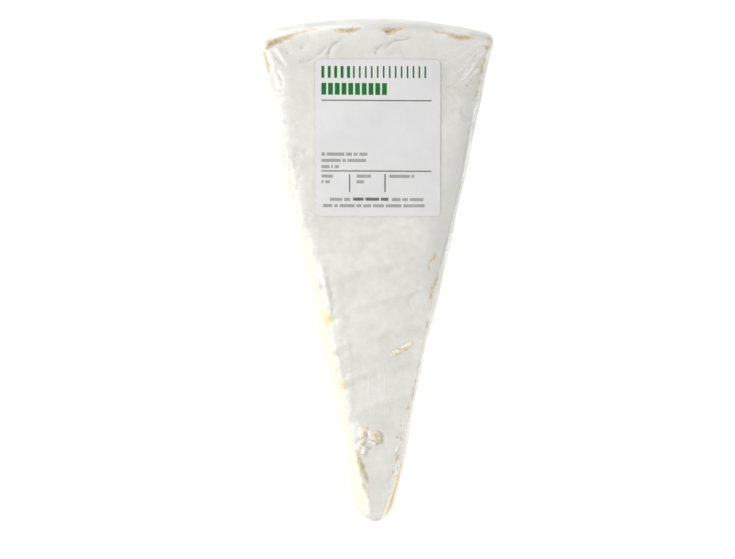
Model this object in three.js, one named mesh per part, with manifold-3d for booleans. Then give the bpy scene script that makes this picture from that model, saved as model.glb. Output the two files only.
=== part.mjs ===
// A wedge of soft-ripened cheese with a white bloomy rind, wrapped tight in clear film, with a paper label on top.
// Millimetres, +Z up. The wedge lies flat, its blunt point towards -Y and its curved rim towards +Y.
// The origin is the centre of its footprint, on the surface that it rests on.
import * as THREE from 'three';
import { mergeVertices } from 'three/addons/utils/BufferGeometryUtils.js';
import Module from 'manifold-3d';

const wasm = await Module();
wasm.setup();

// Driving dimensions: the wheel that the wedge was cut from, and the label
const WHEEL_RADIUS = 184;
const HALF_ANGLE = THREE.MathUtils.degToRad( 12.5 );
const HEIGHT = 28;
const POINT_RADIUS = 20; // the blunt point ends this far from the wheel's centre
const LABEL_WIDTH = 40;
const LABEL_LENGTH = 50;
const LABEL_CENTRE_Y = 42;

const MIDDLE_RADIUS = ( WHEEL_RADIUS + POINT_RADIUS ) / 2; // lies at y = 0
const HALF_LENGTH = ( WHEEL_RADIUS - POINT_RADIUS ) / 2;

// The tight film rounds the rim's arc and the upright corners
const RIM_ARC_RADIUS = 155;
const RIM_CORNERS = { left: 5, right: 2.5 };
const RIM_SQUEEZE = 1.9; // the gathered film presses each cut face in by this much next to the rim
const POINT_CORNER = 5.8;

// The soft faces stand out furthest at this level, and draw in towards the top and the foot
const WIDEST_LEVEL = 0.42 * HEIGHT;
const FOOT_SHARE = 0.5; // the foot draws in, and turns in, by this share of what the top does
const RIM_PULL = 2.2;
const POINT_PULL = 2.6;
const MOST_OF_WIDTH = 0.75; // the thin point draws in by at most this share of its half-width

// Rounded edges: how far each reaches into the top, and how far it drops
const RIM_EDGE = { reach: 5.5, drop: 7 };
const POINT_EDGE = { reach: 1.6, drop: 2.5 };
const CUT_EDGE_DROP = 3;

const FOOT_SINK = 0.35; // the weight presses this much of the foot's rounding flat

// Cells of the skin's grid
const CELLS = { across: 30, along: 62, up: 8 };
const EDGE_CROWDING = 0.6; // 0 spaces the grid lines evenly, 1 crowds them most at the edges

const RIND_COLOUR = 0xe4e3dd;
const LABEL_COLOUR = 0xe6e5e5;

const { clamp, lerp, smoothstep } = THREE.MathUtils;
const bell = ( distance, width ) => Math.exp( - ( ( distance / width ) ** 2 ) );

// Plan and profile of the wedge. radius is the distance from the wheel's centre.

function halfWidth( radius ) {

	const pointSwell = 1.1 * bell( radius - 30, 14 );
	const squeeze = RIM_SQUEEZE * smoothstep( radius, 130, 175 );
	return radius * Math.tan( HALF_ANGLE ) + pointSwell - squeeze;

}

// The ripe paste slumps most at the thin point, and least near the rim
function cutPull( radius ) {

	return 1.0 + 0.9 * ( 1 - smoothstep( radius, 85, 130 ) ) + 1.6 * bell( radius - POINT_RADIUS, 17 );

}

// The film rounds the cut edges more near the rim, where it is gathered
function cutEdge( radius ) {

	return { reach: lerp( 1.6, 4, smoothstep( radius, 120, 175 ) ), drop: CUT_EDGE_DROP };

}

// How far a face lies inside the widest outline at height z: its bulge, and the quarter ellipse of its edge
function inset( z, pull, edge ) {

	const upper = z > WIDEST_LEVEL;
	const bulge = upper ? ( z - WIDEST_LEVEL ) / ( HEIGHT - WIDEST_LEVEL ) : 1 - z / WIDEST_LEVEL;
	const drop = upper ? edge.drop : FOOT_SHARE * edge.drop;
	const turn = clamp( 1 - ( upper ? HEIGHT - z : z ) / drop, 0, 1 );
	const most = pull * bulge ** 2 + edge.reach * ( 1 - Math.sqrt( 1 - turn ** 2 ) );
	return upper ? most : FOOT_SHARE * most;

}

function cutInset( radius, z ) {

	return Math.min( inset( z, cutPull( radius ), cutEdge( radius ) ), MOST_OF_WIDTH * halfWidth( radius ) );

}

// Relief of the top: broad swells, and the faint parallel ridges that the ripening rack pressed into the rind

const RACK_SPACING = 10.65;
const RACK_SLOPE = THREE.MathUtils.degToRad( 17 );
const FIRST_RIDGE = 1.0;
const RACK_RIDGE = { height: 0.35, width: 1.9 };

function swells( x, y ) {

	return 0.28 * Math.sin( x / 7.5 + 0.9 ) * Math.cos( y / 12 + 0.4 )
		+ 0.22 * Math.sin( ( x + y ) / 6.2 + 2.1 )
		+ 0.16 * Math.sin( ( y - 0.6 * x ) / 3.9 );

}

function rackRidges( x, y ) {

	const across = y * Math.cos( RACK_SLOPE ) - x * Math.sin( RACK_SLOPE ) - FIRST_RIDGE;
	const fromRidge = across - RACK_SPACING * Math.round( across / RACK_SPACING );
	const belowLabel = 1 - smoothstep( y, 12, 20 );
	return RACK_RIDGE.height * belowLabel * bell( fromRidge, RACK_RIDGE.width );

}

// Grooves in the rind behind the label, and patches along the rim's crest where it is rubbed through.
// Each runs along a short line.
const HOLLOWS = [
	{ from: [ - 12.9, 72.4 ], to: [ - 16.8, 64.8 ], width: 1.5, depth: 0.6 },
	{ from: [ - 0.2, 68.1 ], to: [ 4.4, 71.1 ], width: 1.4, depth: 0.5 },
	{ from: [ 4.4, 71.1 ], to: [ 9.4, 72.4 ], width: 1.4, depth: 0.5 },
	{ from: [ - 34.4, 71.8 ], to: [ - 27.0, 74.2 ], width: 2.2, depth: 0.6 },
	{ from: [ - 27.0, 74.4 ], to: [ - 20.4, 75.8 ], width: 1.4, depth: 0.4 },
	{ from: [ - 13.8, 76.0 ], to: [ - 4.2, 76.2 ], width: 2.0, depth: 0.5 },
	{ from: [ 2.8, 75.8 ], to: [ 8.2, 76.3 ], width: 2.4, depth: 0.6 },
	{ from: [ 17.0, 76.2 ], to: [ 24.2, 75.0 ], width: 1.4, depth: 0.4 },
	{ from: [ 23.4, 74.9 ], to: [ 31.4, 73.2 ], width: 2.2, depth: 0.6 },
];

function distanceToLine( x, y, from, to ) {

	const [ runX, runY ] = [ to[ 0 ] - from[ 0 ], to[ 1 ] - from[ 1 ] ];
	const share = ( ( x - from[ 0 ] ) * runX + ( y - from[ 1 ] ) * runY ) / ( runX * runX + runY * runY );
	const nearest = clamp( share, 0, 1 );
	return Math.hypot( x - from[ 0 ] - nearest * runX, y - from[ 1 ] - nearest * runY );

}

function topRelief( x, y ) {

	const hollow = HOLLOWS.reduce( ( sum, { from, to, width, depth } ) =>
		sum + depth * bell( distanceToLine( x, y, from, to ), width ), 0 );
	return swells( x, y ) + rackRidges( x, y ) - hollow;

}

// Relief of the cut faces: slow waves, and the place near the point where the film bridges the left face
const FILM_BRIDGE = { y: - 56.7, length: 6, z: 10, height: 7, bulge: 2.7 };

function faceRelief( side, y, z ) {

	const waves = 0.35 * Math.sin( y / 9 + 1.7 * side ) + 0.2 * Math.sin( y / 3.7 + z / 5 + side );
	const onBridge = bell( y - FILM_BRIDGE.y, FILM_BRIDGE.length ) * bell( z - FILM_BRIDGE.z, FILM_BRIDGE.height );
	return waves + ( side < 0 ? FILM_BRIDGE.bulge * onBridge : 0 );

}

// Skin of the wedge: a gridded box of half-size 1, whose points are moved to their places

function crowded( t ) {

	return lerp( t, Math.sin( t * Math.PI / 2 ), EDGE_CROWDING );

}

// Turns the square's corner at ( 1, 1 ) into a quarter circle, and the squares nested in it into nested arcs
function roundCorner( p, q, reachP, reachQ ) {

	const outP = ( Math.abs( p ) - 1 + reachP ) / reachP;
	const outQ = ( Math.abs( q ) - 1 + reachQ ) / reachQ;
	if ( outP <= 0 || outQ <= 0 ) return [ p, q ];
	const scale = Math.max( outP, outQ ) / Math.hypot( outP, outQ );
	return [
		Math.sign( p ) * ( 1 - reachP + reachP * outP * scale ),
		Math.sign( q ) * ( 1 - reachQ + reachQ * outQ * scale ),
	];

}

function placeInPlan( p, q, z ) {

	const rimCorner = p < 0 ? RIM_CORNERS.left : RIM_CORNERS.right;
	const [ roundP, roundQ ] = q > 0
		? roundCorner( p, q, rimCorner / halfWidth( WHEEL_RADIUS ), rimCorner / HALF_LENGTH )
		: roundCorner( p, q, 0.95, POINT_CORNER / HALF_LENGTH );
	const radius = MIDDLE_RADIUS + roundQ * HALF_LENGTH;
	const x = roundP * ( halfWidth( radius ) - cutInset( radius, z ) );
	const rimSag = x * x / ( 2 * RIM_ARC_RADIUS ) * smoothstep( roundQ, 0, 1 );
	const rimInset = inset( z, RIM_PULL, RIM_EDGE ) * smoothstep( roundQ, 0.6, 1 );
	const pointInset = inset( z, POINT_PULL, POINT_EDGE ) * smoothstep( - roundQ, 0.6, 1 );
	return [ x, roundQ * HALF_LENGTH - rimSag - rimInset + pointInset ];

}

function placeSkinPoint( point ) {

	const [ p, q, r ] = [ crowded( point.x ), crowded( point.y ), Math.sin( point.z * Math.PI / 2 ) ];
	const level = ( r + 1 ) / 2 * HEIGHT;
	const [ x, y ] = placeInPlan( p, q, level );

	// Relief fades round the edges
	const topShare = smoothstep( level, 0.7 * HEIGHT, HEIGHT );
	const faceShare = smoothstep( Math.abs( p ), 0.7, 1 ) * ( 1 - r ** 4 );
	return point.set(
		x + Math.sign( x ) * faceShare * faceRelief( Math.sign( x ), y, level ),
		y,
		level + topShare * topRelief( x, y ) - FOOT_SINK,
	);

}

// Solids for cutting and joining

function toSolid( geometry ) {

	geometry.deleteAttribute( 'normal' );
	geometry.deleteAttribute( 'uv' );
	const merged = mergeVertices( geometry, 1e-4 );
	return new wasm.Manifold( new wasm.Mesh( {
		numProp: 3,
		vertProperties: new Float32Array( merged.attributes.position.array ),
		triVerts: new Uint32Array( merged.index.array ),
	} ) );

}

function toGeometry( solid ) {

	const { vertProperties, triVerts } = solid.getMesh();
	const geometry = new THREE.BufferGeometry();
	geometry.setAttribute( 'position', new THREE.BufferAttribute( vertProperties, 3 ) );
	geometry.setIndex( new THREE.BufferAttribute( triVerts, 1 ) );
	geometry.computeVertexNormals();
	return geometry;

}

// A closed box of half-size 1 in cells, each of its points moved by place
function placedBox( cells, place ) {

	const box = new THREE.BoxGeometry( 2, 2, 2, cells.across, cells.along, cells.up );
	box.deleteAttribute( 'normal' );
	box.deleteAttribute( 'uv' );
	const geometry = mergeVertices( box, 1e-4 );
	const positions = geometry.attributes.position;
	const point = new THREE.Vector3();
	for ( let i = 0; i < positions.count; i ++ ) {

		place( point.fromBufferAttribute( positions, i ) );
		positions.setXYZ( i, point.x, point.y, point.z );

	}

	geometry.computeVertexNormals();
	return geometry;

}

// Strips and knobs where the rind has torn and curled up, each along a short line on the top
const CURLS = [
	{ from: [ 3.6, - 27.2 ], to: [ 7.4, - 25.6 ], width: 1.6, height: 0.8 },
	{ from: [ 7.0, - 25.8 ], to: [ 11.3, - 23.0 ], width: 1.5, height: 0.9 },
	{ from: [ - 3.9, - 51.0 ], to: [ - 6.8, - 57.6 ], width: 1.9, height: 1.1 },
	{ from: [ - 0.9, - 51.6 ], to: [ - 0.4, - 53.4 ], width: 3.0, height: 1.3 },
	{ from: [ - 2.6, - 52.6 ], to: [ - 4.6, - 57.6 ], width: 1.8, height: 1.0 },
	{ from: [ - 5.2, - 61.2 ], to: [ - 3.2, - 67.4 ], width: 1.3, height: 0.7 },
];

function curlSolid( { from, to, width, height } ) {

	const start = new THREE.Vector2( ...from );
	const run = new THREE.Vector2( ...to ).sub( start );
	const middle = start.clone().addScaledVector( run, 0.5 );
	const z = HEIGHT - FOOT_SINK + topRelief( middle.x, middle.y );
	return toSolid( new THREE.SphereGeometry( 1, 10, 6 )
		.scale( run.length() / 2 + width / 2, width / 2, height )
		.rotateZ( run.angle() )
		.translate( middle.x, middle.y, z ) );

}

// Ears of folded film that stand out from the rim
const FILM_EARS = [
	{ x: - 29.4, halfWidth: 3.2 },
	{ x: 28.7, halfWidth: 3.8 },
];
const EAR_REACH = 4.5;
const EAR_THICKNESS = 1.6;

function earSolid( ear ) {

	return toSolid( new THREE.SphereGeometry( 1, 12, 8 )
		.scale( ear.halfWidth, EAR_REACH, EAR_THICKNESS / 2 )
		.translate( ear.x, HALF_LENGTH + 1 - EAR_REACH, WIDEST_LEVEL ) );

}

function wedgeGeometry() {

	const skin = toSolid( placedBox( CELLS, placeSkinPoint ) );
	const surface = new THREE.BoxGeometry( 4 * HALF_LENGTH, 4 * HALF_LENGTH, HEIGHT ).translate( 0, 0, - HEIGHT / 2 );
	const lumps = [ ...CURLS.map( curlSolid ), ...FILM_EARS.map( earSolid ) ];
	return toGeometry( lumps.reduce( ( whole, lump ) => whole.add( lump ), skin.subtract( toSolid( surface ) ) ) );

}

// The label: paper stuck to the film, so it follows the top
const LABEL_CELLS = { across: 12, along: 15, up: 1 };
const LABEL_CORNER = 1.7;
const LABEL_LIFT = 0.3; // the film, and the glue under the label
const LABEL_THICKNESS = 0.25;

function placeLabelPoint( point ) {

	const [ reachP, reachQ ] = [ 2 * LABEL_CORNER / LABEL_WIDTH, 2 * LABEL_CORNER / LABEL_LENGTH ];
	const [ p, q ] = roundCorner( crowded( point.x ), crowded( point.y ), reachP, reachQ );
	const [ x, y ] = [ p * LABEL_WIDTH / 2, LABEL_CENTRE_Y + q * LABEL_LENGTH / 2 ];
	const underside = HEIGHT - FOOT_SINK + topRelief( x, y ) + LABEL_LIFT;
	return point.set( x, y, point.z > 0 ? underside + LABEL_THICKNESS : underside );

}

// The part

const brieWedge = new THREE.Mesh(
	wedgeGeometry(),
	new THREE.MeshStandardMaterial( { color: RIND_COLOUR, roughness: 0.75, metalness: 0 } ),
);
brieWedge.name = 'brie_wedge';

const label = new THREE.Mesh(
	placedBox( LABEL_CELLS, placeLabelPoint ),
	new THREE.MeshStandardMaterial( { color: LABEL_COLOUR, roughness: 0.6, metalness: 0 } ),
);
label.name = 'label';

const wrappedBrie = new THREE.Group();
wrappedBrie.add( brieWedge, label );

export default wrappedBrie;
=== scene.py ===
"""Looks of a wedge of brie wrapped in clear film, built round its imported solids.

Lengths are in millimetres until a mesh is made. Colours are screen values, from 0 to 255.
The wheel's centre lies towards -Y, and radius is the distance from it along the wedge.
"""
import math

import bpy
import numpy as np
from mathutils import Matrix, Vector, noise


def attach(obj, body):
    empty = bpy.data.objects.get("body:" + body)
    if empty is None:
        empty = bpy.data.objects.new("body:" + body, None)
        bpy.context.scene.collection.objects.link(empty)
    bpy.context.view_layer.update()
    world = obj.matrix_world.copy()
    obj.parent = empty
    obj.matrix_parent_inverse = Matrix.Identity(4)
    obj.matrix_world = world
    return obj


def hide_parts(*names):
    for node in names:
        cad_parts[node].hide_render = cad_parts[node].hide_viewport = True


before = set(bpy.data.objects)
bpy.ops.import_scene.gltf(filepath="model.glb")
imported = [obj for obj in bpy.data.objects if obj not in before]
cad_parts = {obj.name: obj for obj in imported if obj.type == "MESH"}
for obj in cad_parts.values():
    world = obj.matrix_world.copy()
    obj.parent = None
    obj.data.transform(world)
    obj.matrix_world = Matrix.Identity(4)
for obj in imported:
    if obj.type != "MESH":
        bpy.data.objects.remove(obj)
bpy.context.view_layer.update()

MM = 0.001

# Driving dimensions, as in the solids
WHEEL_RADIUS = 184
POINT_RADIUS = 20
HALF_ANGLE = math.radians(12.5)
HEIGHT = 28
LABEL_WIDTH = 40
LABEL_LENGTH = 50
LABEL_CENTRE_Y = 42

# Plan: the rim's arc, the rounded corners, the swell beside the point and the squeeze near the rim
MIDDLE_RADIUS = (WHEEL_RADIUS + POINT_RADIUS) / 2
HALF_LENGTH = (WHEEL_RADIUS - POINT_RADIUS) / 2
RIM_ARC_RADIUS = 155
RIM_CORNER_LEFT = 5
RIM_CORNER_RIGHT = 2.5
POINT_CORNER = 5.8
POINT_CORNER_SHARE = 0.95
POINT_SWELL = 1.1
RIM_SQUEEZE = 1.9

# Profile: the level of the widest outline, and how far each face draws in above it: its pull.
# An edge states how far in it reaches, and how far down. The foot has a share of all this.
WIDEST_LEVEL = 0.42 * HEIGHT
FOOT_SHARE = 0.5
RIM_PULL = 2.2
POINT_PULL = 2.6
CUT_PULL = 1.0
CUT_PULL_NARROW = 0.9
CUT_PULL_AT_POINT = 1.6
RIM_EDGE = (5.5, 7)
POINT_EDGE = (1.6, 2.5)
CUT_EDGE_DROP = 3
CUT_EDGE_AT_POINT = 1.6
CUT_EDGE_AT_RIM = 4
MOST_INSET_SHARE = 0.75

# How far the wedge's weight presses it down on its foot
FOOT_SINK = 0.35

# Layers from outside in: the film lies on the solid's surface, the cheese a little inside it
CHEESE_INSET = 0.25
FILM_FLOOR = 0.1
CHEESE_FLOOR = 0.35

# Meshes: a skin's cells along each axis, their crowding at its edges, and the least sharp angle
SKIN_CELLS = (120, 270, 40)
EDGE_CROWDING = 0.6
SHARP_ANGLE = math.radians(50)

# The depth inside a band or a face wherever that is far away
OUTSIDE = -3.0

# A place on a skin's box beyond this is on one of its sides
ALMOST_1 = 0.9999

# How far a seed moves the noise
SEED_STEP = np.array([17.3, 5.1, 9.7])


def bell(distance, width):
    return np.exp(-((distance / width) ** 2))


def smoothstep(value, low, high):
    share = np.clip((value - low) / (high - low), 0, 1)
    return share * share * (3 - 2 * share)


def fade(value, low, high):
    return 1 - smoothstep(value, low, high)


def lerp(start, end, share):
    return start + (end - start) * share


# Noise and lines on the surface


def noise_at(points, size, octaves=1, seed=0):
    """Smooth noise, about -1 to 1, whose lumps have the given size along each axis."""
    moved = points / np.asarray(size) + SEED_STEP * seed
    return np.array([noise.fractal(Vector(p), 1.0, 2.0, octaves) for p in moved])


def from_segment(x, y, start, end):
    """Share along a segment of the spot nearest to each place in plan, and the distance to it."""
    run_x, run_y = end[0] - start[0], end[1] - start[1]
    share = np.clip(((x - start[0]) * run_x + (y - start[1]) * run_y) / (run_x**2 + run_y**2), 0, 1)
    return share, np.hypot(x - start[0] - share * run_x, y - start[1] - share * run_y)


def distance_to_line(x, y, line):
    """Distance in plan to a line through two or more points."""
    return np.min([from_segment(x, y, start, end)[1] for start, end in zip(line, line[1:])], axis=0)


def over_lines(x, y, lines):
    """Sum over lines that state their points, width and amount. An amount fades out across its width."""
    return sum(amount * bell(distance_to_line(x, y, line), width) for line, width, amount in lines)


def depth_in_band(x, y, band):
    """Distance inside a band whose points state their x, y and width. It is negative outside the band."""
    depth = np.full(np.shape(x), OUTSIDE)
    for start, end in zip(band, band[1:]):
        share, away = from_segment(x, y, start, end)
        depth = np.maximum(depth, lerp(start[2], end[2], share) / 2 - away)
    return depth


def depth_in_bands(x, y, bands):
    return np.max([depth_in_band(x, y, band) for band in bands], axis=0)


# Plan and profile of the wedge


def half_width(radius):
    swell = POINT_SWELL * bell(radius - 30, 14)
    squeeze = RIM_SQUEEZE * smoothstep(radius, 130, 175)
    return radius * math.tan(HALF_ANGLE) + swell - squeeze


def inset(level, pull, reach, drop):
    """How far a face lies inside the widest outline: its bulge, and the quarter ellipse of its edge."""
    upper = level > WIDEST_LEVEL
    bulge = np.where(upper, (level - WIDEST_LEVEL) / (HEIGHT - WIDEST_LEVEL), 1 - level / WIDEST_LEVEL)
    side_drop = np.where(upper, drop, FOOT_SHARE * drop)
    turn = np.clip(1 - np.where(upper, HEIGHT - level, level) / side_drop, 0, 1)
    most = pull * bulge**2 + reach * (1 - np.sqrt(1 - turn**2))
    return np.where(upper, most, FOOT_SHARE * most)


def cut_edge_reach(radius):
    return lerp(CUT_EDGE_AT_POINT, CUT_EDGE_AT_RIM, smoothstep(radius, 120, 175))


def cut_inset(radius, level):
    pull = CUT_PULL + CUT_PULL_NARROW * fade(radius, 85, 130)
    pull += CUT_PULL_AT_POINT * bell(radius - POINT_RADIUS, 17)
    most = inset(level, pull, cut_edge_reach(radius), CUT_EDGE_DROP)
    return np.minimum(most, MOST_INSET_SHARE * half_width(radius))


def round_corner(p, q, reach_p, reach_q):
    """Rounds the corners of the square of half-size 1, with nested arcs inside them."""
    out_p = np.maximum(np.abs(p) - 1 + reach_p, 0) / reach_p
    out_q = np.maximum(np.abs(q) - 1 + reach_q, 0) / reach_q
    inside = (out_p > 0) & (out_q > 0)
    scale = np.where(inside, np.maximum(out_p, out_q) / np.maximum(np.hypot(out_p, out_q), 1e-9), 1)
    round_p = np.where(inside, np.sign(p) * (1 - reach_p + reach_p * out_p * scale), p)
    round_q = np.where(inside, np.sign(q) * (1 - reach_q + reach_q * out_q * scale), q)
    return round_p, round_q


def place_in_plan(p, q, level, grow):
    """Place in plan of a point of the box's skin, with the wedge grown by grow."""
    rim_corner = np.where(p < 0, RIM_CORNER_LEFT, RIM_CORNER_RIGHT)
    rim = round_corner(p, q, rim_corner / half_width(WHEEL_RADIUS), rim_corner / HALF_LENGTH)
    point = round_corner(p, q, POINT_CORNER_SHARE, POINT_CORNER / HALF_LENGTH)
    round_p = np.where(q > 0, rim[0], point[0])
    round_q = np.where(q > 0, rim[1], point[1])
    radius = MIDDLE_RADIUS + round_q * HALF_LENGTH
    x = round_p * (half_width(radius) - cut_inset(radius, level) + grow)
    rim_sag = x**2 / (2 * RIM_ARC_RADIUS) * smoothstep(round_q, 0, 1)
    rim_inset = (inset(level, RIM_PULL, *RIM_EDGE) - grow) * smoothstep(round_q, 0.6, 1)
    point_inset = (inset(level, POINT_PULL, *POINT_EDGE) - grow) * smoothstep(-round_q, 0.6, 1)
    return x, round_q * HALF_LENGTH - rim_sag - rim_inset + point_inset


# Relief that the film and the cheese share: swells, and ridges pressed in by the ripening rack
RACK_SPACING = 10.65
RACK_SLOPE = math.radians(17)
FIRST_RIDGE = 1
RIDGE_HEIGHT = 0.38
HOLLOW_DEPTH = 0.34


def swells(x, y):
    return (
        0.28 * np.sin(x / 7.5 + 0.9) * np.cos(y / 12 + 0.4)
        + 0.22 * np.sin((x + y) / 6.2 + 2.1)
        + 0.16 * np.sin((y - 0.6 * x) / 3.9)
    )


def rack_ridges(x, y):
    """A ridge with a hollow below it at each bar of the rack, uneven along its length."""
    waver = 0.8 * np.sin(x / 6.1 + y / 23) + 0.5 * np.sin(x / 2.7 + y / 5.3)
    waver += 0.3 * np.sin(x / 1.3 - y / 7.7)
    across = y * math.cos(RACK_SLOPE) - x * math.sin(RACK_SLOPE) - FIRST_RIDGE + 0.5 * waver
    from_ridge = across - RACK_SPACING * np.round(across / RACK_SPACING)
    strength = 0.6 + 0.3 * np.sin(x / 5.3 + y / 11.0 + 1.0) + 0.25 * np.sin(x / 2.3 + y / 4.1)
    below_label = smoothstep(y, -58, -32) * fade(y, 12, 20)
    ridge = RIDGE_HEIGHT * bell(from_ridge, 1.1) - HOLLOW_DEPTH * bell(from_ridge + 1.9, 1.2)
    return strength * below_label * ridge


# How far the flat top reaches over the round of a cut face's upper edge: y, and a share of that round
LEFT_SHELF = [
    (-83, 0.85), (-61, 0.85), (-51, 0.4), (-29, 0.3), (-16, 0.31), (-3, 0.74), (6.2, 0.63),
    (9.4, 0.2), (12, 0.5), (14.2, 0.69), (19, 0.88), (25.4, 0.88), (27.3, 0.55), (30.1, 0.37),
    (33.3, 0.41), (35.6, 0.77), (38.1, 0.88), (42.9, 0.81), (45.5, 0.88), (48.3, 0.8),
    (51.5, 0.88), (53.1, 0.48), (55.7, 0.88), (57.3, 0.29), (58.9, 0.25), (62, 0.55),
    (65.2, 0.3), (68.4, 0.49),
]
RIGHT_SHELF = [
    (-83, 0.85), (-50, 0.85), (-30, 0.7), (-10, 0.45), (5, 0.2), (30, 0.1), (38, 0.25),
    (46, 0.5), (54, 0.55), (62, 0.65), (70, 0.5),
]
MOST_SHELF = 0.88

# How far the top sinks at its left and right sides, and how wide that slope is
LEFT_SINK = 0.5
LEFT_SLOPE = 3.8
RIGHT_SINK = 1
RIGHT_SLOPE = 13


def shelf_end(x, y):
    left, right = [np.interp(y, *zip(*shelf)) for shelf in (LEFT_SHELF, RIGHT_SHELF)]
    ragged = 0.08 * np.sin(y / 0.55) + 0.06 * np.sin(y / 0.93 + 2)
    return np.clip(np.where(x < 0, left, right) + ragged, 0, MOST_SHELF)


def edge_fill(x, y, q, level):
    """Height that carries the top out over the round of the cut faces' upper edges."""
    end = shelf_end(x, y)
    round_share = np.sqrt(1 - np.clip(1 - (HEIGHT - level) / CUT_EDGE_DROP, 0, 1) ** 2)
    along = fade(q, 0.9, 0.97)
    return along * (HEIGHT - level) * fade(round_share, end - 0.1, end + 0.1)


def crown(x, y):
    """How far the top sinks at its sides: in a narrow roll on the left, more gently on the right."""
    radius = MIDDLE_RADIUS + y
    border = half_width(radius) - cut_inset(radius, np.full(np.shape(x), HEIGHT))
    inward = np.maximum(border + shelf_end(x, y) * cut_edge_reach(radius) - np.abs(x), 0)
    left = LEFT_SINK * np.clip(1 - inward / LEFT_SLOPE, 0, 1) ** 2 * smoothstep(y, -62, -50)
    right = RIGHT_SINK * fade(inward, 0, RIGHT_SLOPE) * smoothstep(y, -60, 10)
    return np.where(x < 0, left, right)


def shared_relief(x, y):
    return swells(x, y) + rack_ridges(x, y) - crown(x, y)


# The rind at the point stays level between two tears, for which it is raised by POINT_FILL at most
LEFT_TEAR = [(-8.6, -58), (-6.4, -63.5), (-4.6, -67.5), (-3.6, -72), (-3.1, -78), (-2.8, -83)]
RIGHT_TEAR = [(8.6, -60), (6.7, -64.5), (4.4, -71.5), (2.0, -79), (1.4, -83)]
POINT_FILL = 2


def tear_x(y, tear):
    return np.interp(y, [spot[1] for spot in reversed(tear)], [spot[0] for spot in reversed(tear)])


def point_fill(x, y, below, level):
    """Height that levels the rind at the point, where it lies below the top by below."""
    between = smoothstep(x - tear_x(y, LEFT_TEAR), 0, 0.5) * smoothstep(tear_x(y, RIGHT_TEAR) - x, 0, 0.5)
    along = smoothstep(-y, 66, 70) * fade(-y, 79.4, 80.2)
    return between * along * smoothstep(level, HEIGHT - 8, HEIGHT - 6) * np.clip(below, 0, POINT_FILL)


def under_label(x, y):
    """1 under the label, fading to 0 just outside its edges."""
    across = smoothstep(LABEL_WIDTH / 2 + 2 - np.abs(x), 0, 2)
    return across * smoothstep(LABEL_LENGTH / 2 + 2 - np.abs(y - LABEL_CENTRE_Y), 0, 2)


def distance_inward(place):
    """How far each point's place lies in from the nearer cut face."""
    return (1 - np.abs(place["p"])) * half_width(MIDDLE_RADIUS + place["q"] * HALF_LENGTH)


# Skins: gridded boxes whose points are moved to their places


def box_grid(cells):
    """Points of a gridded box's skin, from -1 to 1 each way, and its quads facing out."""
    number = np.full(np.add(cells, 1), -1)
    corner = np.indices(number.shape)
    on_skin = np.any([corner[axis] % cells[axis] == 0 for axis in range(3)], axis=0)
    number[on_skin] = np.arange(on_skin.sum())
    quads = []
    for axis, size in enumerate(cells):
        for end in (0, size):
            sheet = np.take(number, end, axis=axis)
            ring = [sheet[:-1, :-1], sheet[1:, :-1], sheet[1:, 1:], sheet[:-1, 1:]]
            faces_out = (end > 0) == (axis != 1)
            quads.append(np.stack([side.ravel() for side in (ring if faces_out else ring[::-1])], axis=1))
    points = np.stack([corner[axis][on_skin] / cells[axis] * 2 - 1 for axis in range(3)])
    return points, np.concatenate(quads)


def crowded(t):
    return lerp(t, np.sin(t * np.pi / 2), EDGE_CROWDING)


def wedge_skin(grow):
    """The wedge's skin grown by grow, its quads, and each point's place on the box it is shaped from."""
    (p, q, r), quads = box_grid(SKIN_CELLS)
    p, q, r = crowded(p), crowded(q), np.sin(r * np.pi / 2)
    level = (r + 1) / 2 * HEIGHT
    x, y = place_in_plan(p, q, level, grow)
    top_share = smoothstep(level, 0.7 * HEIGHT, HEIGHT)
    z = level + grow * r + edge_fill(x, y, q, level)
    z += point_fill(x, y, HEIGHT + grow - z, level) + top_share * shared_relief(x, y) - FOOT_SINK
    place = {"p": p, "q": q, "r": r, "level": level, "top": top_share}
    return np.stack([x, y, z], axis=1), quads, place


def face_share(place):
    """1 in the middle of a cut face, 0 on the top, the foot and round the upright corners."""
    return smoothstep(np.abs(place["p"]), 0.7, 1) * (1 - place["r"] ** 4)


def face_waves(points):
    side = np.sign(points[:, 0])
    y, z = points[:, 1], points[:, 2]
    return 0.35 * np.sin(y / 9 + 1.7 * side) + 0.2 * np.sin(y / 3.7 + z / 5 + side)


def push_out(points, place, amount):
    """Moves the points of the cut faces sideways, out by amount."""
    points[:, 0] += np.sign(points[:, 0]) * face_share(place) * amount


def new_object(name, data):
    made = bpy.data.objects.new(name, data)
    bpy.context.scene.collection.objects.link(made)
    return made


def make_piece(name, points, faces, materials, values=(), face_materials=None):
    """A piece that rides on the body, with the values per point that its materials read by name."""
    mesh = bpy.data.meshes.new(name)
    mesh.from_pydata((points * MM).tolist(), [], [list(face) for face in faces])
    for material in materials:
        mesh.materials.append(material)
    for value_name, numbers in dict(values).items():
        attribute = mesh.attributes.new(value_name, "FLOAT", "POINT")
        attribute.data.foreach_set("value", numbers.astype(np.float32))
    if face_materials is not None:
        mesh.polygons.foreach_set("material_index", face_materials)
    mesh.polygons.foreach_set("use_smooth", [True] * len(mesh.polygons))
    mesh.update()
    mesh.set_sharp_from_angle(angle=SHARP_ANGLE)
    piece = new_object(name, mesh)
    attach(piece, "root")
    return piece


# Material nodes


def linear(colour):
    """A screen colour, 0 to 255, as the linear values that a shader takes."""
    shares = [value / 255 for value in colour]
    return tuple(s / 12.92 if s <= 0.04045 else ((s + 0.055) / 1.055) ** 2.4 for s in shares) + (1.0,)


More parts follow.
